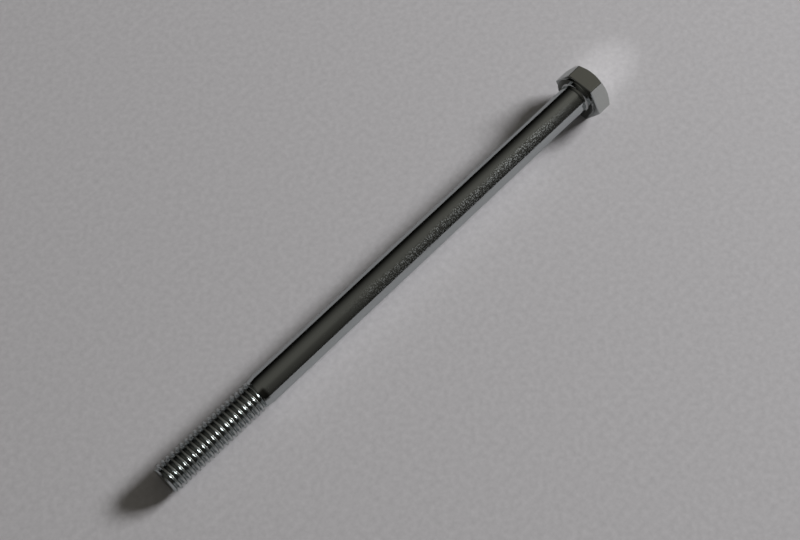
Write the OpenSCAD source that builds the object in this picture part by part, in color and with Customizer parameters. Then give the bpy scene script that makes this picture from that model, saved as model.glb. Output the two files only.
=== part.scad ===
// Long hex head bolt with a plain shank and a coarse right-hand thread at its end.
// It lies at rest on its thread tip and on one flat of its head. Millimetres, +Z up, tip towards +X.

/* [Shank] */
// Length from the bearing face under the head to the end of the thread
bolt_length = 139.7; // [60:0.1:200]
// Diameter of the plain shank
shank_d = 7.9; // [7.4:0.05:8.6]
// Radius of the fillet between the shank and the bearing face
fillet_r = 0.55; // [0.2:0.05:0.9]

/* [Head] */
// Width of the head across its flats
head_af = 12.7; // [12.2:0.1:16]
// Height of the head with its washer face
head_h = 5.25; // [3.5:0.05:8]
// Distance of the hexagon from the axis of the shank, within the allowance for a forged head
head_offset = 0.4; // [0:0.05:0.4]
// Thickness of the raised washer face under the head
washer_t = 0.4; // [0.2:0.05:0.8]
// Diameter of the washer face
washer_d = 11.7; // [10.6:0.1:12]
// Diameter of the flat circle on top of the head
crown_d = 12.1; // [9:0.1:12.1]
// Angle of the chamfer around the top of the head
head_chamfer_deg = 35; // [15:1:40]

/* [Thread] */
// Length from the tip to the place where the last thread fades out
thread_length = 28.8; // [12:0.1:50]
// Distance from one crest to the next
thread_pitch = 1.411; // [1.1:0.01:1.8]
// Diameter over the crests
thread_major_d = 7.82; // [7.3:0.02:8.4]
// Diameter at the roots
thread_minor_d = 6.24; // [5.8:0.02:6.6]
// Turn of the thread around the axis, in steps of one side of its grid
thread_start_deg = 160; // [0:10:350]
// Diameter of the flat face at the tip
tip_d = 6.4; // [4.5:0.1:6.8]
// Length of the chamfer at the tip
tip_chamfer = 0.7; // [0.4:0.05:1.6]

/* [Neck] */
// Diameter of the neck that the last thread fades into
neck_d = 7.3; // [6.9:0.05:7.5]
// Length of the cone from the neck up to the shank
neck_cone = 0.9; // [0.6:0.1:4]

/* [Hidden] */
$fn = 96;

// The thread surface is a grid of points, with this many sides around the axis and as many steps in a pitch.
THREAD_SIDES = 36;
// Rows of the grid in one pitch, each with its step along the pitch and its share of the thread's height.
THREAD_PROFILE = [[0, 0], [7, 0], [19, 1], [24, 1]];
// Number of turns over which the last thread fades into the neck
FADE_TURNS = 0.8;
// Steps from the end of the thread to the foot of the neck's cone. The body is a plain prism there.
NECK_STEPS = 14.5;
// Steps from the end of the thread to the end of its body inside the cone
BODY_END_STEPS = 28;
// Step between the neck and the end of the thread body inside it
NECK_STEP = 0.03;
// How far the shank runs on inside the head
SHANK_OVERLAP = 1;

SHANK_R = shank_d / 2;
NECK_R = neck_d / 2;
CREST_R = thread_major_d / 2;
TIP_R = tip_d / 2;
HEAD_R = head_af / 2;
CROWN_R = crown_d / 2;
HEAD_CORNER_R = HEAD_R / cos(30);

// The thread's length is taken in whole steps, and the foot of the cone falls between two rows.
STEP = thread_pitch / THREAD_SIDES;
THREAD_STEPS = round(thread_length / STEP);
START_STEPS = round(thread_start_deg / 360 * THREAD_SIDES);
BODY_STEPS = THREAD_STEPS + BODY_END_STEPS;
NECK_X = bolt_length - (THREAD_STEPS + NECK_STEPS) * STEP;
SHANK_END_X = NECK_X - neck_cone;

PROFILE_ROWS = len(THREAD_PROFILE);
ROWS = PROFILE_ROWS * (ceil(BODY_STEPS / THREAD_SIDES) + 2);
ALL_ROWS = [0:ROWS - 1];
ALL_SIDES = [0:THREAD_SIDES - 1];

// At rest, the head's lower flat stands on its edge beside the washer face, and the first whole crest
// touches down near the tip.
TIP_REST_X = bolt_length - tip_chamfer - thread_pitch / 2;
REST_TILT = atan((HEAD_R - CREST_R) / (TIP_REST_X + washer_t));
REST_Z = HEAD_R * cos(REST_TILT) - washer_t * sin(REST_TILT);
REST_X = ((head_h - bolt_length) * cos(REST_TILT) + (CROWN_R - TIP_R) * sin(REST_TILT)) / 2;

function clamp(value, low, high) = min(max(value, low), high);

// Steps from the tip to a grid row, before the rows are cut off at both ends.
function row_steps(side, row) =
    THREAD_SIDES * (floor(row / PROFILE_ROWS) - 1) + THREAD_PROFILE[row % PROFILE_ROWS][0]
    + side - START_STEPS;

// On each side, the row that is cut off at the tip and the row that is cut off inside the neck.
FIRST_ROW = [for (side = ALL_SIDES) len([for (row = ALL_ROWS) if (row_steps(side, row) <= 0) row]) - 1];
LAST_ROW = [for (side = ALL_SIDES) len([for (row = ALL_ROWS) if (row_steps(side, row) < BODY_STEPS) row])];

// Share of the thread's height that is left at a place, as the last thread fades into the neck.
function fade(steps) = clamp((THREAD_STEPS - steps) / (FADE_TURNS * THREAD_SIDES), 0, 1);

function profile_radius(row) =
    (thread_minor_d + THREAD_PROFILE[row % PROFILE_ROWS][1] * (thread_major_d - thread_minor_d)) / 2;

// Radius of the thread surface: its profile, faded into the neck, inside the cone of the tip's chamfer.
function thread_radius(steps, row) =
    min(
        fade(steps) * profile_radius(row) + (1 - fade(steps)) * (NECK_R - NECK_STEP),
        TIP_R + steps * STEP * (CREST_R - TIP_R) / tip_chamfer
    );

function thread_point(side, row) =
    let (
        steps = clamp(row_steps(side, row), 0, BODY_STEPS),
        radius = thread_radius(steps, row),
        turn = 360 * side / THREAD_SIDES
    )
    [bolt_length - steps * STEP, radius * cos(turn), -radius * sin(turn)];

// Index of a grid point. After a full turn the grid meets itself one pitch further on.
function grid_index(side, row) =
    side == THREAD_SIDES
        ? grid_index(0, row + PROFILE_ROWS)
        : side * ROWS + clamp(row, FIRST_ROW[side], LAST_ROW[side]);

function is_whole(face) = face[0] != face[1] && face[1] != face[2] && face[2] != face[0];

module at_rest() {
    translate([REST_X, -head_offset, REST_Z]) rotate([0, REST_TILT, 0]) children();
}

// Turns a shape that was made along Z so that it lies along X.
module along_x() {
    rotate([0, 90, 0]) children();
}

module hex_prism() {
    rotate(30) translate([0, 0, -head_h]) cylinder(r = HEAD_CORNER_R, h = head_h - washer_t, $fn = 6);
}

// Cone that takes the sharp corners off the top of the head.
module head_chamfer() {
    drop = (HEAD_CORNER_R + 1 - CROWN_R) * tan(head_chamfer_deg);
    rotate_extrude() polygon([
        [0, -head_h],
        [CROWN_R, -head_h],
        [HEAD_CORNER_R + 1, drop - head_h],
        [HEAD_CORNER_R + 1, 0],
        [0, 0]
    ]);
}

module head() {
    translate([0, head_offset, 0]) intersection() {
        hex_prism();
        head_chamfer();
    }
    translate([0, 0, -washer_t - 0.5]) cylinder(d = washer_d, h = washer_t + 0.5);
}

// Shank with the fillet under the head and the cone down to the neck.
module shank() {
    rotate_extrude() {
        polygon([
            [0, -SHANK_OVERLAP],
            [SHANK_R, -SHANK_OVERLAP],
            [SHANK_R, SHANK_END_X],
            [NECK_R, NECK_X],
            [0, NECK_X]
        ]);
        difference() {
            translate([0, -fillet_r]) square([SHANK_R + fillet_r, 2 * fillet_r]);
            translate([SHANK_R + fillet_r, fillet_r]) circle(r = fillet_r);
        }
    }
}

module thread() {
    points = [for (side = ALL_SIDES, row = ALL_ROWS) thread_point(side, row)];
    strips = [
        for (side = ALL_SIDES, row = [0:ROWS - 2])
            let (
                a = grid_index(side, row),
                b = grid_index(side, row + 1),
                c = grid_index(side + 1, row + 1),
                d = grid_index(side + 1, row)
            )
            each [[a, b, c], [a, c, d]]
    ];
    tip = [for (side = ALL_SIDES) grid_index(side, 0)];
    neck = [for (side = ALL_SIDES) grid_index(THREAD_SIDES - 1 - side, ROWS - 1)];
    polyhedron(points = points, faces = concat([for (face = strips) if (is_whole(face)) face], [tip, neck]));
}

module bolt() {
    color("silver") at_rest() {
        along_x() head();
        along_x() shank();
        thread();
    }
}

bolt();
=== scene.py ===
"""A long hex head bolt of zinc-plated steel, lying at rest on a sheet of white paper."""

import logging
import math
from dataclasses import dataclass
from enum import Enum

import bpy
from mathutils import Euler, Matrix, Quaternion, Vector


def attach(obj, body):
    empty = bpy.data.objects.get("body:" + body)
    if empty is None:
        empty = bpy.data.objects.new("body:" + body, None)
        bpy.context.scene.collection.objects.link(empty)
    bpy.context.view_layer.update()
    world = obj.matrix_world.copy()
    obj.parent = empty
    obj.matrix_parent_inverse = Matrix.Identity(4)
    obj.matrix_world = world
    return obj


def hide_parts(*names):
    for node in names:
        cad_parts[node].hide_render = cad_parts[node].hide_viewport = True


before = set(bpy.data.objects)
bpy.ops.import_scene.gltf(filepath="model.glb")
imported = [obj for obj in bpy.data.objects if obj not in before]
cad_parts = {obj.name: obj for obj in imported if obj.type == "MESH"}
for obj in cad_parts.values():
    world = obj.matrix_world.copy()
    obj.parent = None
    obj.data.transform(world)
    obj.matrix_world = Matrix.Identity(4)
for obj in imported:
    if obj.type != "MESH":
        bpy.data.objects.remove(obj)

log = logging.getLogger("rotor_bolt")

MM = 0.001
LENGTH = 139.7
THREAD_LENGTH = 28.8
THREAD_START = LENGTH - THREAD_LENGTH
WASHER_HEIGHT = 0.4
SAME_POINT = 0.0005
SMOOTH_BELOW_DEG = 24.0
BOLT_NODE = "bolt"
BOLT_BODY = "root"

Station = tuple[float, float]
Span = tuple[float, float]
Colour = tuple[float, float, float]


class Combine(Enum):
    """How one solid is combined with another."""

    JOIN = "UNION"
    KEEP_COMMON = "INTERSECT"


class LampKind(Enum):
    """What shape the light of a lamp has."""

    AREA = "AREA"
    SPOT = "SPOT"


class Bench:
    """Modelling steps that every piece shares.

    Pieces are made along +Z, one Blender unit to the millimetre.
    """

    @staticmethod
    def clear() -> None:
        """Leaves edit mode and deselects every object."""
        if bpy.context.object and bpy.context.object.mode != "OBJECT":
            bpy.ops.object.mode_set(mode="OBJECT")
        bpy.ops.object.select_all(action="DESELECT")

    @staticmethod
    def pick(piece: bpy.types.Object) -> None:
        """Makes one object the selected and active one.

        Args:
            piece: The object that the next operators act on.
        """
        Bench.clear()
        piece.select_set(True)
        bpy.context.view_layer.objects.active = piece

    @staticmethod
    def added(name: str) -> bpy.types.Object:
        """Names the primitive that was just added.

        Args:
            name: The name for the object and its mesh.

        Returns:
            The new object.
        """
        piece = bpy.context.object
        piece.name = name
        piece.data.name = name
        return piece

    @staticmethod
    def turn(name: str, stations: list[Station], sides: int) -> bpy.types.Object:
        """Makes a solid of revolution by extruding a disc from station to station.

        Args:
            name: The name of the new object.
            stations: Height and radius of each ring, from the bottom up.
            sides: Number of sides around the axis.

        Returns:
            The closed solid.
        """
        Bench.clear()
        height, radius = stations[0]
        bpy.ops.mesh.primitive_circle_add(
            vertices=sides, radius=radius, fill_type="NGON", location=(0, 0, height)
        )
        piece = Bench.added(name)
        bpy.ops.object.transform_apply(location=True, rotation=False, scale=False)
        bpy.ops.object.mode_set(mode="EDIT")
        for next_height, next_radius in stations[1:]:
            ratio = next_radius / radius
            bpy.ops.mesh.extrude_region_move(
                TRANSFORM_OT_translate={"value": (0, 0, next_height - height)}
            )
            bpy.ops.transform.resize(value=(ratio, ratio, 1), center_override=(0, 0, next_height))
            height, radius = next_height, next_radius
        Bench.close_up()
        return piece

    @staticmethod
    def close_up() -> None:
        """Points all faces of the mesh in edit mode outwards and leaves edit mode."""
        bpy.ops.mesh.select_all(action="SELECT")
        bpy.ops.mesh.normals_make_consistent(inside=False)
        bpy.ops.object.mode_set(mode="OBJECT")

    @staticmethod
    def combine(piece: bpy.types.Object, other: bpy.types.Object, how: Combine) -> None:
        """Combines two solids into the first and removes the second.

        Args:
            piece: The solid that is kept.
            other: The solid that is used up.
            how: Whether they are joined or only what they share is kept.
        """
        Bench.pick(piece)
        boolean = piece.modifiers.new("combine", "BOOLEAN")
        boolean.operation = how.value
        boolean.solver = "EXACT"
        boolean.object = other
        bpy.ops.object.modifier_apply(modifier=boolean.name)
        bpy.data.objects.remove(other, do_unlink=True)

    @staticmethod
    def bevel(piece: bpy.types.Object, width: float, segments: int, angle_deg: float) -> None:
        """Rounds the sharp edges of a solid.

        Args:
            piece: The solid to round.
            width: Width of the bevel in millimetres.
            segments: Number of faces across the bevel.
            angle_deg: Edges that turn by more than this are rounded.
        """
        Bench.pick(piece)
        rounding = piece.modifiers.new("round", "BEVEL")
        rounding.limit_method = "ANGLE"
        rounding.angle_limit = math.radians(angle_deg)
        rounding.width = width
        rounding.segments = segments
        rounding.use_clamp_overlap = True
        bpy.ops.object.modifier_apply(modifier=rounding.name)

    @staticmethod
    def tidy(piece: bpy.types.Object) -> None:
        """Merges the points that lie together and smooths the faces between sharp edges.

        The normals are weighted by area, so that the flat faces beside a rounded edge stay flat.

        Args:
            piece: The solid to tidy.
        """
        Bench.pick(piece)
        bpy.ops.object.mode_set(mode="EDIT")
        bpy.ops.mesh.select_all(action="SELECT")
        bpy.ops.mesh.remove_doubles(threshold=SAME_POINT)
        Bench.close_up()
        bpy.ops.object.shade_smooth_by_angle(angle=math.radians(SMOOTH_BELOW_DEG))
        weighting = piece.modifiers.new("flats", "WEIGHTED_NORMAL")
        weighting.keep_sharp = True
        bpy.ops.object.modifier_apply(modifier=weighting.name)


def arc_stations(
    centre: Station, radius: float, start_deg: float, end_deg: float, steps: int
) -> list[Station]:
    """Points of an arc in the plane of height and radius.

    Args:
        centre: Height and radius of the arc's centre.
        radius: Radius of the arc.
        start_deg: Angle of the first point, from growing radius towards growing height.
        end_deg: Angle of the last point.
        steps: Number of straight pieces in the arc.

    Returns:
        The points, first and last included.
    """
    angles = [math.radians(start_deg + (end_deg - start_deg) * i / steps) for i in range(steps + 1)]
    return [(centre[0] + radius * math.sin(a), centre[1] + radius * math.cos(a)) for a in angles]


@dataclass
class HexHead:
    """Cold-formed hex head with a chamfered crown. Its top is below and its bearing face at height 0."""

    across_flats: float = 12.7
    height: float = 5.25
    washer_height: float = WASHER_HEIGHT
    crown_diameter: float = 12.1
    chamfer_deg: float = 35.0
    offset: float = 0.4
    edge_radius: float = 0.2
    edge_steps: int = 3
    rounded_from_deg: float = 20.0
    cone_margin: float = 1.0
    cone_sides: int = 120

    @property
    def corner_radius(self) -> float:
        """Distance from the axis to a corner."""
        return self.across_flats / math.sqrt(3)

    def crown_cone(self) -> bpy.types.Object:
        """Makes the cone that trims the top of the head, with the edge of the flat circle rounded.

        Returns:
            The cone, wider than the corners at its foot.
        """
        crown = self.crown_diameter / 2
        rim = self.corner_radius + self.cone_margin
        slope = math.radians(self.chamfer_deg)
        drop = (rim - crown) * math.tan(slope)
        bend = self.edge_radius / math.tan(slope / 2)
        bend_centre = (bend - self.height, crown - self.edge_radius)
        stations = arc_stations(bend_centre, bend, -90, self.chamfer_deg - 90, self.edge_steps)
        stations += [(drop - self.height, rim), (self.cone_margin, rim)]
        return Bench.turn("crown_cone", stations, self.cone_sides)

    def build(self) -> bpy.types.Object:
        """Makes the head.

        Returns:
            The closed head.
        """
        Bench.clear()
        depth = self.height - self.washer_height + self.cone_margin
        bpy.ops.mesh.primitive_cylinder_add(
            vertices=6,
            radius=self.corner_radius,
            depth=depth,
            location=(0, 0, -self.washer_height - depth / 2),
        )
        head = Bench.added("hex_head")
        bpy.ops.object.transform_apply(location=True, rotation=False, scale=False)
        Bench.bevel(head, self.edge_radius, self.edge_steps, self.rounded_from_deg)
        Bench.combine(head, self.crown_cone(), Combine.KEEP_COMMON)
        Bench.pick(head)
        head.location = (0, self.offset, 0)
        bpy.ops.object.transform_apply(location=True, rotation=False, scale=False)
        return head


@dataclass
class Shank:
    """Washer face, fillet, plain shank, cone and neck, turned as one rod that ends inside the thread.

    The shoulder says how far the shank has drawn in at places counted from the top of the cone. The flare
    says how far before the neck, and how far outside it, the cone starts to bend into it.
    """

    diameter: float = 7.9
    fillet: float = 0.55
    fillet_steps: int = 8
    fillet_end: float = 1.5
    washer_height: float = WASHER_HEIGHT
    washer_diameter: float = 11.7
    washer_edge: float = 0.08
    washer_overlap: float = 0.6
    neck_diameter: float = 7.5
    cone_length: float = 0.9
    shoulder: tuple[Station, ...] = ((-1.0, 0.0), (-0.25, 0.005), (0.0, 0.03), (0.25, 0.11))
    neck_length: float = 0.58
    neck_flare: Station = (0.2, 0.04)
    thread_start: float = THREAD_START
    run_in: float = 1.3
    core_diameter: float = 5.9
    core_reach: float = 8.0
    sides: int = 192

    def build(self) -> bpy.types.Object:
        """Makes the rod.

        Returns:
            The closed rod, from inside the head to inside the thread.
        """
        radius = self.diameter / 2
        washer = self.washer_diameter / 2
        neck = self.neck_diameter / 2
        core = self.core_diameter / 2
        neck_foot = self.thread_start - self.neck_length
        cone_top = neck_foot - self.cone_length
        edge = self.washer_edge
        stations = [(-self.washer_height - self.washer_overlap, washer), (-edge, washer)]
        stations += arc_stations((-edge, washer - edge), edge, 30, 90, 2)
        stations += arc_stations(
            (self.fillet, radius + self.fillet), -self.fillet, 90, 0, self.fillet_steps
        )
        stations += [(self.fillet_end, radius)]
        stations += [(cone_top + along, radius - inward) for along, inward in self.shoulder]
        before, flare = self.neck_flare
        stations += [(neck_foot - before, neck + flare), (neck_foot, neck)]
        stations += [(self.thread_start, neck), (self.thread_start + self.run_in, core)]
        stations += [(self.thread_start + self.core_reach, core)]
        return Bench.turn("shank", stations, self.sides)


@dataclass
class Thread:
    """Rolled right-hand thread with rounded roots, chamfered at the tip and fading out at the neck.

    The coil starts lead_in pitches before the thread does. It is cut flat at cut_in pitches from its own
    start and at cut_past pitches beyond the tip, and the blank then gives both ends their final shape.
    """

    end: float = LENGTH
    length: float = THREAD_LENGTH
    pitch: float = 1.411
    major_diameter: float = 7.796
    minor_diameter: float = 6.24
    tip_diameter: float = 6.4
    tip_chamfer: float = 0.7
    run_out: float = 0.6
    start_deg: float = 40.0
    crest_radius: float = 0.08
    root_radius: float = 0.15
    half_angle_deg: float = 29.2
    arc_steps: int = 4
    flank_supports: tuple[float, ...] = (0.08, 0.92)
    steps: int = 84
    spare_turns: int = 4
    lead_in: float = 1.5
    cut_in: float = 1.1
    cut_past: float = 0.6
    blank_sides: int = 144
    blank_clear: float = 0.01
    blank_sink: float = 0.02

    def profile(self) -> list[Station]:
        """One pitch of the thread's section, from the middle of one root to the middle of the next.

        Returns:
            Height and radius of each point.
        """
        root = self.minor_diameter / 2
        crest = self.major_diameter / 2
        turn = 90 - self.half_angle_deg
        across = math.sin(math.radians(turn))
        lift = 1 - math.cos(math.radians(turn))
        bends = self.root_radius + self.crest_radius
        flank = (crest - root - bends * lift) * math.tan(math.radians(self.half_angle_deg))
        crest_edge = flank + bends * across
        middle = self.pitch / 2
        rise = arc_stations((0, root + self.root_radius), -self.root_radius, 0, -turn, self.arc_steps)
        top_centre = (crest_edge, crest - self.crest_radius)
        top = arc_stations(top_centre, self.crest_radius, -turn, 0, self.arc_steps)
        (foot, foot_ring), (brow, brow_ring) = rise[-1], top[0]
        side = [
            (foot + (brow - foot) * part, foot_ring + (brow_ring - foot_ring) * part)
            for part in self.flank_supports
        ]
        half = rise + side + top
        other = [(2 * middle - height, ring) for height, ring in reversed(half)]
        return half + other

    def coil(self) -> bpy.types.Object:
        """Winds the section into a closed threaded rod that is longer than the thread at both ends.

        Returns:
            The threaded rod.
        """
        points = self.profile()
        turns = math.ceil(self.length / self.pitch) + self.spare_turns
        bottom = self.end - self.length - self.lead_in * self.pitch
        Bench.clear()
        bpy.ops.mesh.primitive_plane_add(size=1, location=(0, 0, 0))
        rod = Bench.added("thread")
        bpy.ops.object.mode_set(mode="EDIT")
        bpy.ops.mesh.select_all(action="SELECT")
        bpy.ops.mesh.merge(type="CENTER")
        bpy.ops.transform.translate(value=(points[0][1], 0, bottom + points[0][0]))
        for (height, ring), (next_height, next_ring) in zip(points, points[1:]):
            bpy.ops.mesh.extrude_vertices_move(
                TRANSFORM_OT_translate={"value": (next_ring - ring, 0, next_height - height)}
            )
        bpy.ops.object.mode_set(mode="OBJECT")
        rod.rotation_euler = (0, 0, math.radians(self.start_deg))
        bpy.ops.object.transform_apply(location=False, rotation=True, scale=False)
        winding = rod.modifiers.new("winding", "SCREW")
        winding.axis = "Z"
        winding.angle = math.tau
        winding.screw_offset = self.pitch
        winding.iterations = turns
        winding.steps = self.steps
        winding.render_steps = self.steps
        winding.use_merge_vertices = False
        bpy.ops.object.modifier_apply(modifier=winding.name)
        bpy.ops.object.mode_set(mode="EDIT")
        bpy.ops.mesh.select_all(action="SELECT")
        bpy.ops.mesh.remove_doubles(threshold=SAME_POINT)
        low_cut = bottom + self.pitch * self.cut_in
        high_cut = self.end + self.pitch * self.cut_past
        for height, inner in ((low_cut, True), (high_cut, False)):
            bpy.ops.mesh.select_all(action="SELECT")
            bpy.ops.mesh.bisect(
                plane_co=(0, 0, height),
                plane_no=(0, 0, 1),
                use_fill=True,
                clear_inner=inner,
                clear_outer=not inner,
            )
        Bench.close_up()
        return rod

    def blank(self) -> bpy.types.Object:
        """Makes the rod that the thread is rolled on, with its chamfered tip and its fade at the neck.

        Returns:
            The blank.
        """
        start = self.end - self.length
        crest = self.major_diameter / 2 + self.blank_clear
        root = self.minor_diameter / 2 - self.blank_sink
        tip = self.tip_diameter / 2
        stations = [
            (start, root),
            (start + self.run_out, crest),
            (self.end - self.tip_chamfer, crest),
            (self.end, tip),
        ]
        return Bench.turn("thread_blank", stations, self.blank_sides)

    def build(self) -> bpy.types.Object:
        """Makes the threaded end.

        Returns:
            The closed threaded end.
        """
        rod = self.coil()
        Bench.combine(rod, self.blank(), Combine.KEEP_COMMON)
        return rod


class Wiring:
    """A material's node tree, with short calls that add the nodes which the finishes are made of."""

    def __init__(self, tree: bpy.types.NodeTree) -> None:
        """Starts on a node tree.

        Args:
            tree: The tree that the nodes are added to.
        """
        self.tree = tree

    def node(self, kind: str, **settings: object) -> bpy.types.Node:
        """Adds a node.

        Args:
            kind: The node's type.
            settings: Its properties.

        Returns:
            The node.
        """
        node = self.tree.nodes.new(kind)
        for name, value in settings.items():
            setattr(node, name, value)
        return node

    def feed(self, socket: bpy.types.NodeSocket, value: object) -> None:
        """Gives an input a link or a constant.

        Args:
            socket: The input.
            value: An output socket, or the constant.
        """
        if isinstance(value, bpy.types.NodeSocket):
            self.tree.links.new(value, socket)
        else:
            socket.default_value = value

    def math(self, operation: str, first: object, second: object = 0.0) -> bpy.types.NodeSocket:
        """Adds a sum on one or two numbers.

        Args:
            operation: Blender's name of the operation.
            first: The first number or link.
            second: The second number or link.

        Returns:
            The result.
        """
        node = self.node("ShaderNodeMath", operation=operation)
        self.feed(node.inputs[0], first)
        self.feed(node.inputs[1], second)
        return node.outputs[0]

    def product(self, *factors: object) -> bpy.types.NodeSocket:
        """Multiplies numbers.

        Args:
            factors: The numbers or links, two or more.

        Returns:
            Their product.
        """
        result = factors[0]
        for factor in factors[1:]:
            result = self.math("MULTIPLY", result, factor)
        return result

    def between(self, value: object, low: float, high: float) -> bpy.types.NodeSocket:
        """Rises smoothly from 0 to 1 as a value goes from one mark to another.

        Args:
            value: The number or link.
            low: Where the result is 0.
            high: Where the result is 1. It may lie below the first mark.

        Returns:
            The result.
        """
        node = self.node("ShaderNodeMapRange", interpolation_type="SMOOTHSTEP")
        self.feed(node.inputs["Value"], value)
        self.feed(node.inputs["From Min"], low)
        self.feed(node.inputs["From Max"], high)
        return node.outputs["Result"]

    def blend(self, share: object, low: object, high: object) -> bpy.types.NodeSocket:
        """Mixes two numbers.

        Args:
            share: How much of the second number is taken.
            low: The first number or link.
            high: The second number or link.

        Returns:
            The mixed number.
        """
        node = self.node("ShaderNodeMix", data_type="FLOAT")
        self.feed(node.inputs[0], share)
        self.feed(node.inputs[2], low)
        self.feed(node.inputs[3], high)
        return node.outputs[0]

    def tint(self, share: object, low: object, high: object) -> bpy.types.NodeSocket:
        """Mixes two colours.

        Args:
            share: How much of the second colour is taken.
            low: The first colour or link.
            high: The second colour or link.

        Returns:
            The mixed colour.
        """
        node = self.node("ShaderNodeMix", data_type="RGBA")
        self.feed(node.inputs[0], share)
        self.feed(node.inputs[6], (*low, 1) if isinstance(low, tuple) else low)
        self.feed(node.inputs[7], (*high, 1) if isinstance(high, tuple) else high)
        return node.outputs[2]

    def noise(self, vector: bpy.types.NodeSocket, size: float, detail: float = 2.0) -> bpy.types.NodeSocket:
        """Adds a cloudy pattern.

        Args:
            vector: The coordinates.
            size: The size of its largest blots, in the coordinates' unit.
            detail: How many finer layers it has.

        Returns:
            A number about 0.5.
        """
        node = self.node("ShaderNodeTexNoise")
        self.feed(node.inputs["Vector"], vector)
        self.feed(node.inputs["Scale"], 1 / size)
        self.feed(node.inputs["Detail"], detail)
        return node.outputs[0]


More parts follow.
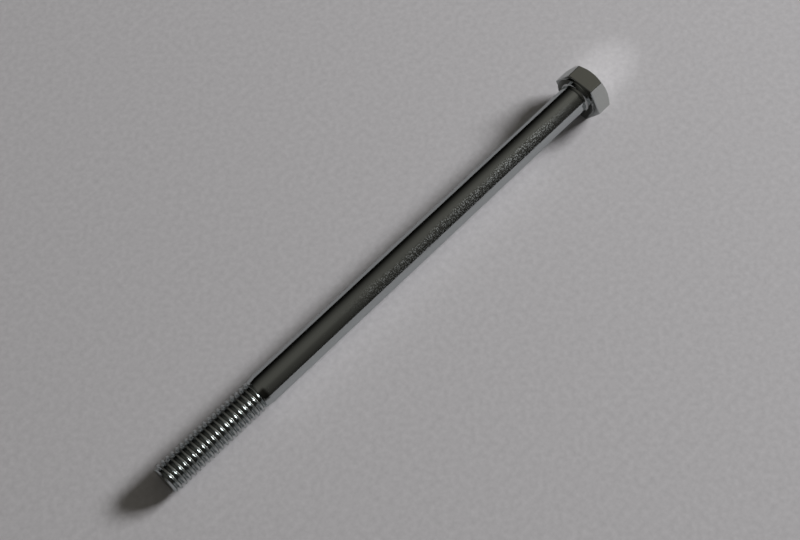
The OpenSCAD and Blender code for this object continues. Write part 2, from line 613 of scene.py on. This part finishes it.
@dataclass(frozen=True)
class ZincPlating:
    """Bright zinc plating, smooth on the shank and duller down in the thread, with painted shade darker
    towards the thread's roots and a painted highlight on its crests.

    One side of the shank has a zone of fine pits. Painted shade darkens the washer face and the foot of the
    fillet under the head, and painted shade makes a near-black patch at the neck. A span holds the value where
    a mask is 0 and the value where it is 1. Spans in degrees go round the axis from the top, those below the
    crest are depths, shares are values of the grain, and the others are places along the axis from the bearing
    face. Lengths are in millimetres.
    """

    name: str = "zinc_plating"
    colour: Colour = (0.505, 0.535, 0.54)
    edge_tint: Colour = (0.68, 0.69, 0.69)
    # Painted shade: the thread turns to this darker colour towards its roots.
    root_shade_colour: Colour = (0.43, 0.455, 0.45)
    # Painted highlight: the crests of the thread turn to this lighter colour.
    crest_highlight_colour: Colour = (0.54, 0.565, 0.56)
    head_colour: Colour = (0.575, 0.595, 0.575)
    # Painted shade: the washer face and the foot of the fillet under the head turn to this darker colour.
    under_head_shade_colour: Colour = (0.405, 0.42, 0.415)
    speck_colour: Colour = (0.26, 0.27, 0.275)
    # Painted shade: a near-black patch at the neck.
    neck_shade_colour: Colour = (0.10, 0.105, 0.10)
    roughness: float = 0.11
    thread_roughness: float = 0.18
    crest_roughness: float = 0.31
    pit_roughness: float = 0.36
    thread_fade: float = 0.8
    root_shade: float = 0.12
    flank_below_crest: Span = (0.02, 0.09)
    highlight_below_crest: Span = (0.10, 0.03)
    head_side: Span = (-0.6, -0.8)
    under_head_top: Span = (-0.6, -0.5)
    under_head_end: Span = (0.5, 0.2)
    mottle_size: float = 9.0
    mottle_detail: float = 3.0
    mottle_swing_deg: float = 40.0
    pits_from_deg: Span = (2.0, 22.0)
    pits_to_deg: Span = (62.0, 48.0)
    pits_at_neck: Span = (92.0, 68.0)
    pits_at_head: Span = (-12.0, 26.0)
    pit_size: float = 0.28
    pit_detail: float = 1.5
    pit_share: Span = (0.48, 0.64)
    speck_share: Span = (0.47, 0.36)
    neck_shade_from_deg: Span = (14.0, 26.0)
    neck_shade_to_deg: Span = (70.0, 60.0)
    neck_shade_start: Span = (109.6, 110.5)
    neck_shade_end: Span = (111.4, 111.1)
    fray_size: float = 1.2
    fray_depth: float = 0.8
    wave_size: float = 2.6
    wave_detail: float = 3.0
    wave_height: float = 0.006

    def laid_along(self, wiring: Wiring, place: Vector, tilt: float) -> bpy.types.NodeSocket:
        """Gives coordinates that lie along the bolt's axis.

        Args:
            wiring: The material's nodes.
            place: Centre of the bearing face, in millimetres.
            tilt: Slope of the axis, in radians.

        Returns:
            Coordinates in millimetres, with X along the axis from the bearing face.
        """
        laid = wiring.node("ShaderNodeMapping", vector_type="TEXTURE")
        wiring.feed(laid.inputs["Vector"], wiring.node("ShaderNodeTexCoord").outputs["Object"])
        wiring.feed(laid.inputs["Location"], place * MM)
        wiring.feed(laid.inputs["Rotation"], (0, tilt, 0))
        wiring.feed(laid.inputs["Scale"], (MM, MM, MM))
        return laid.outputs["Vector"]

    def build(
        self, place: Vector, tilt: float, thread_start: float, root: float, crest: float
    ) -> bpy.types.Material:
        """Makes the finish.

        Args:
            place: Centre of the bearing face, in millimetres.
            tilt: Slope of the axis, in radians.
            thread_start: Distance from the bearing face to the thread.
            root: Radius of the thread's roots.
            crest: Radius of its crests.

        Returns:
            The material.
        """
        material = bpy.data.materials.new(self.name)
        material.use_nodes = True
        wiring = Wiring(material.node_tree)
        shader = material.node_tree.nodes["Principled BSDF"]
        along = self.laid_along(wiring, place, tilt)
        split = wiring.node("ShaderNodeSeparateXYZ")
        wiring.feed(split.inputs["Vector"], along)
        axial, side, up = split.outputs
        ring = wiring.math(
            "SQRT", wiring.math("ADD", wiring.math("POWER", side, 2), wiring.math("POWER", up, 2))
        )
        slope = wiring.math("DEGREES", wiring.math("ARCTAN2", side, up))
        mottle = wiring.noise(along, self.mottle_size, self.mottle_detail)
        swing = wiring.product(wiring.math("SUBTRACT", mottle, 0.5), self.mottle_swing_deg)
        ragged = wiring.math("ADD", slope, swing)
        on_thread = wiring.between(axial, thread_start - self.thread_fade, thread_start)

        zone = wiring.product(
            wiring.between(ragged, *self.pits_from_deg),
            wiring.between(ragged, *self.pits_to_deg),
            wiring.between(axial, *self.pits_at_neck),
            wiring.between(axial, *self.pits_at_head),
        )
        grain = wiring.noise(along, self.pit_size, self.pit_detail)
        pitted = wiring.product(zone, wiring.between(grain, *self.pit_share))
        specks = wiring.product(zone, wiring.between(grain, *self.speck_share))

        flank = wiring.between(ring, *(crest - below for below in self.flank_below_crest))
        threaded = wiring.blend(flank, self.crest_roughness, self.thread_roughness)
        smooth = wiring.blend(on_thread, self.roughness, threaded)
        wiring.feed(shader.inputs["Roughness"], wiring.blend(pitted, smooth, self.pit_roughness))

        on_head = wiring.between(axial, *self.head_side)
        # Painted shade under the head, on the washer face and the foot of the fillet.
        under_head_shade = wiring.product(
            wiring.between(axial, *self.under_head_end), wiring.between(axial, *self.under_head_top)
        )
        # Painted highlight along the crests of the thread.
        highlight_marks = (crest - below for below in self.highlight_below_crest)
        edge = wiring.product(on_thread, wiring.between(ring, *highlight_marks))
        # Painted shade, darker towards the thread's roots.
        depth = wiring.product(on_thread, wiring.between(ring, crest - self.root_shade, root))
        fray = wiring.product(wiring.noise(along, self.fray_size), self.fray_depth)
        # Painted shade: a dark patch at the neck, with a ragged edge.
        neck_shade = wiring.product(
            wiring.between(ragged, *self.neck_shade_from_deg),
            wiring.between(ragged, *self.neck_shade_to_deg),
            wiring.between(wiring.math("ADD", axial, fray), *self.neck_shade_start),
            wiring.between(axial, *self.neck_shade_end),
        )
        colour = wiring.tint(on_head, self.colour, self.head_colour)
        for share, next_colour in (
            (under_head_shade, self.under_head_shade_colour),
            (edge, self.crest_highlight_colour),
            (depth, self.root_shade_colour),
            (specks, self.speck_colour),
            (neck_shade, self.neck_shade_colour),
        ):
            colour = wiring.tint(share, colour, next_colour)
        wiring.feed(shader.inputs["Base Color"], colour)
        wiring.feed(shader.inputs["Metallic"], 1.0)
        wiring.feed(shader.inputs["Specular Tint"], (*self.edge_tint, 1))

        bump = wiring.node("ShaderNodeBump")
        wiring.feed(bump.inputs["Height"], wiring.noise(along, self.wave_size, self.wave_detail))
        wiring.feed(bump.inputs["Strength"], wiring.math("SUBTRACT", 1, on_thread))
        wiring.feed(bump.inputs["Distance"], self.wave_height * MM)
        wiring.feed(shader.inputs["Normal"], bump.outputs["Normal"])
        return material


@dataclass(frozen=True)
class PaperFinish:
    """Matt white paper with a faint cloudy grain."""

    name: str = "white_paper"
    colour: Colour = (0.712, 0.698, 0.724)
    grain_size: float = 1.4
    grain_detail: float = 4.0
    grain_depth: float = 0.32
    roughness: float = 0.9
    shine: float = 0.2

    def build(self) -> bpy.types.Material:
        """Makes the finish.

        Returns:
            The material.
        """
        material = bpy.data.materials.new(self.name)
        material.use_nodes = True
        shader = material.node_tree.nodes["Principled BSDF"]
        wiring = Wiring(material.node_tree)
        flat = wiring.node("ShaderNodeTexCoord").outputs["Object"]
        grain = wiring.noise(flat, self.grain_size * MM, self.grain_detail)
        dark = tuple(part * (1 - self.grain_depth / 2) for part in self.colour)
        light = tuple(part * (1 + self.grain_depth / 2) for part in self.colour)
        wiring.feed(shader.inputs["Base Color"], wiring.tint(grain, dark, light))
        wiring.feed(shader.inputs["Roughness"], self.roughness)
        wiring.feed(shader.inputs["Specular IOR Level"], self.shine)
        return material


@dataclass
class RotorBolt:
    """The whole bolt, put together from its head, shank and thread, and laid in its place of rest.

    The resting radius is that of the crest that the bolt lies on.
    """

    head: HexHead
    shank: Shank
    thread: Thread
    finish: ZincPlating
    resting_radius: float = 3.91

    @property
    def rest_tilt(self) -> float:
        """Slope of the axis with a flat of the head and the first crest on the floor, in radians."""
        head_radius = self.head.across_flats / 2
        touch = self.thread.end - self.thread.tip_chamfer - self.thread.pitch / 2
        return math.atan((head_radius - self.resting_radius) / (touch + self.head.washer_height))

    @property
    def rest_place(self) -> Vector:
        """Where the centre of the bearing face lies at rest, in millimetres."""
        tilt = self.rest_tilt
        head_radius = self.head.across_flats / 2
        height = head_radius * math.cos(tilt) - self.head.washer_height * math.sin(tilt)
        reach = (self.head.height - self.thread.end) * math.cos(tilt)
        spread = (self.head.crown_diameter - self.thread.tip_diameter) / 2 * math.sin(tilt)
        return Vector(((reach + spread) / 2, -self.head.offset, height))

    def build(self) -> bpy.types.Object:
        """Makes the bolt as one piece and dresses it.

        Returns:
            The bolt, at its place in the row frame.
        """
        bolt = self.shank.build()
        Bench.combine(bolt, self.thread.build(), Combine.JOIN)
        Bench.combine(bolt, self.head.build(), Combine.JOIN)
        bolt.name = "rotor_bolt"
        bolt.data.name = "rotor_bolt"
        Bench.tidy(bolt)
        self.lay_down(bolt)
        bolt.data.materials.clear()
        bolt.data.materials.append(
            self.finish.build(
                self.rest_place,
                self.rest_tilt,
                self.shank.thread_start,
                self.thread.minor_diameter / 2,
                self.thread.major_diameter / 2,
            )
        )
        return bolt

    def lay_down(self, bolt: bpy.types.Object) -> None:
        """Turns the upright bolt in millimetres to its place of rest in metres.

        Args:
            bolt: The upright bolt.
        """
        Bench.pick(bolt)
        bolt.scale = (MM, MM, MM)
        bolt.rotation_euler = Euler((0, math.radians(90) + self.rest_tilt, 0))
        bolt.location = self.rest_place * MM
        bpy.ops.object.transform_apply(location=True, rotation=True, scale=True)

    def declare(self, bolt: bpy.types.Object) -> None:
        """Tells the frame what the bolt is.

        Args:
            bolt: The finished bolt.
        """
        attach(bolt, BOLT_BODY)
        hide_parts(BOLT_NODE)


@dataclass
class PaperFloor:
    """The wide sheet of paper that the bolt lies on."""

    finish: PaperFinish
    width: float = 3.0

    def build(self) -> bpy.types.Object:
        """Makes the floor.

        Returns:
            The floor.
        """
        Bench.clear()
        bpy.ops.mesh.primitive_plane_add(size=self.width, location=(0, 0, 0))
        floor = Bench.added("paper_floor")
        floor.data.materials.append(self.finish.build())
        return floor


def hang_lamp(name: str, kind: LampKind, power: float) -> bpy.types.Object:
    """Adds a lamp to the scene.

    Args:
        name: The name for the lamp and its light.
        kind: What shape its light has.
        power: Its power in watts.

    Returns:
        The lamp, at the origin.
    """
    light = bpy.data.lights.new(name, kind.value)
    light.energy = power
    lamp = bpy.data.objects.new(name, light)
    bpy.context.scene.collection.objects.link(lamp)
    return lamp


@dataclass
class WindowLight:
    """The main soft light, from beyond the head and low over the floor."""

    azimuth_deg: float = 162.4
    elevation_deg: float = 29.0
    distance: float = 1.8
    width: float = 0.60
    height: float = 0.37
    power: float = 26.3

    def build(self) -> bpy.types.Object:
        """Makes the light.

        Returns:
            The light.
        """
        window = hang_lamp("window", LampKind.AREA, self.power)
        window.data.shape = "RECTANGLE"
        window.data.size = self.width
        window.data.size_y = self.height
        azimuth = math.radians(self.azimuth_deg)
        elevation = math.radians(self.elevation_deg)
        flat = math.cos(elevation)
        towards = Vector((flat * math.cos(azimuth), flat * math.sin(azimuth), math.sin(elevation)))
        window.location = towards * self.distance
        window.rotation_euler = (-towards).to_track_quat("-Z", "Y").to_euler()
        return window


@dataclass
class FloorGleam:
    """A weak narrow light straight down on the paper, for the gleam that the head's top throws there."""

    place: tuple[float, float] = (-0.0830, -0.0032)
    height: float = 0.7
    radius: float = 0.009
    stretch: float = 1.5
    softness: float = 0.002
    power: float = 2.4

    def build(self) -> bpy.types.Object:
        """Makes the light.

        Returns:
            The light.
        """
        gleam = hang_lamp("gleam", LampKind.SPOT, self.power)
        gleam.data.spot_size = 2 * math.atan(self.radius / self.height)
        gleam.data.spot_blend = 1.0
        gleam.data.shadow_soft_size = self.softness
        gleam.location = (*self.place, self.height)
        gleam.scale = (self.stretch, 1, 1)
        return gleam


@dataclass
class ShankGleam:
    """A faint narrow light for what the round side of the shank throws down on the paper beside it."""

    place: tuple[float, float, float] = (-0.0035, 0.0043, 0.0046)
    length: float = 0.092
    width: float = 0.002
    slant_deg: float = 45.0
    power: float = 0.00013

    def build(self) -> bpy.types.Object:
        """Makes the light.

        Returns:
            The light.
        """
        gleam = hang_lamp("shank_gleam", LampKind.AREA, self.power)
        gleam.data.shape = "RECTANGLE"
        gleam.data.size = self.length
        gleam.data.size_y = self.width
        gleam.location = self.place
        gleam.rotation_euler = Euler((math.radians(self.slant_deg), 0, 0))
        gleam.visible_camera = False
        gleam.visible_glossy = False
        return gleam


@dataclass(frozen=True)
class Glow:
    """Brightness of the room at one slope of the view, from one horizon over the zenith to the other."""

    angle_deg: float
    brightness: float


@dataclass
class Room:
    """Dim light from the room, in bands along the bolt.

    It is almost black near both horizons and brightest overhead, more so in a patch beyond the head.
    """

    tint: Colour = (1.05, 1.0, 0.87)
    bands: tuple[Glow, ...] = (
        Glow(-90, 0.006),
        Glow(-79, 0.0015),
        Glow(-70, 0.004),
        Glow(-60, 0.012),
        Glow(-46, 0.038),
        Glow(-32, 0.068),
        Glow(-14, 0.098),
        Glow(6, 0.106),
        Glow(20, 0.095),
        Glow(30, 0.069),
        Glow(44, 0.053),
        Glow(60, 0.044),
        Glow(78, 0.026),
        Glow(90, 0.017),
    )
    patch_slope_deg: float = 6.0
    patch_edge_deg: Span = (48.0, 10.0)
    patch_along: Span = (-0.28, -0.50)
    patch_gain: float = 0.66

    def build(self) -> bpy.types.World:
        """Makes the surroundings.

        Returns:
            The world.
        """
        world = bpy.data.worlds.new("room")
        world.use_nodes = True
        bpy.context.scene.world = world
        wiring = Wiring(world.node_tree)
        background = world.node_tree.nodes["Background"]
        place = wiring.node("ShaderNodeTexCoord")
        split = wiring.node("ShaderNodeSeparateXYZ")
        wiring.feed(split.inputs["Vector"], place.outputs["Generated"])
        along, side, up = split.outputs
        slope = wiring.math("DEGREES", wiring.math("ARCTAN2", side, up))
        ramp = wiring.node("ShaderNodeValToRGB")
        for index, glow in enumerate(self.bands):
            position = glow.angle_deg / 180 + 0.5
            if index < 2:
                element = ramp.color_ramp.elements[index]
                element.position = position
            else:
                element = ramp.color_ramp.elements.new(position)
            element.color = (*(glow.brightness * part for part in self.tint), 1)
        wiring.feed(ramp.inputs["Fac"], wiring.math("ADD", wiring.math("DIVIDE", slope, 180), 0.5))
        wiring.feed(background.inputs["Color"], ramp.outputs["Color"])
        away = wiring.math("ABSOLUTE", wiring.math("SUBTRACT", slope, self.patch_slope_deg))
        patch = wiring.product(
            wiring.between(along, *self.patch_along), wiring.between(away, *self.patch_edge_deg)
        )
        gain = wiring.math("ADD", wiring.product(patch, self.patch_gain), 1)
        wiring.feed(background.inputs["Strength"], gain)
        return world


@dataclass
class PinholeCamera:
    """Camera by its place and the point it aims at, in millimetres, its roll and its lens."""

    place: tuple[float, float, float] = (106.8, 113.1, 313.4)
    aim: tuple[float, float, float] = (-3.62, -0.64, 0.0)
    roll_deg: float = -1.83
    lens: float = 64.85
    sensor_width: float = 36.0
    nearest: float = 0.01
    farthest: float = 20.0

    def build(self) -> bpy.types.Object:
        """Makes the camera and gives it to the scene.

        Returns:
            The camera.
        """
        data = bpy.data.cameras.new("camera")
        data.lens = self.lens
        data.sensor_width = self.sensor_width
        data.clip_start = self.nearest
        data.clip_end = self.farthest
        camera = bpy.data.objects.new("camera", data)
        bpy.context.scene.collection.objects.link(camera)
        place = Vector(self.place) * MM
        aim = Vector(self.aim) * MM
        level = (aim - place).to_track_quat("-Z", "Y")
        roll = Quaternion((0, 0, 1), math.radians(self.roll_deg))
        camera.location = place
        camera.rotation_euler = (level @ roll).to_euler()
        bpy.context.scene.camera = camera
        return camera


def report(name: str, piece: bpy.types.Object) -> None:
    """Reports a finished piece.

    Args:
        name: What the piece is.
        piece: The object.
    """
    log.info("%s: %d faces", name, len(piece.data.polygons))


def main() -> None:
    """Builds the bolt, its floor, the lights and the camera."""
    logging.basicConfig(level=logging.INFO, format="%(name)s: %(message)s")
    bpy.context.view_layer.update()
    bolt = RotorBolt(HexHead(), Shank(), Thread(), ZincPlating())
    piece = bolt.build()
    bolt.declare(piece)
    report("bolt", piece)
    report("floor", PaperFloor(PaperFinish()).build())
    WindowLight().build()
    FloorGleam().build()
    ShankGleam().build()
    Room().build()
    PinholeCamera().build()
    bpy.context.scene.view_settings.view_transform = "Standard"


if __name__ == "__main__":
    main()
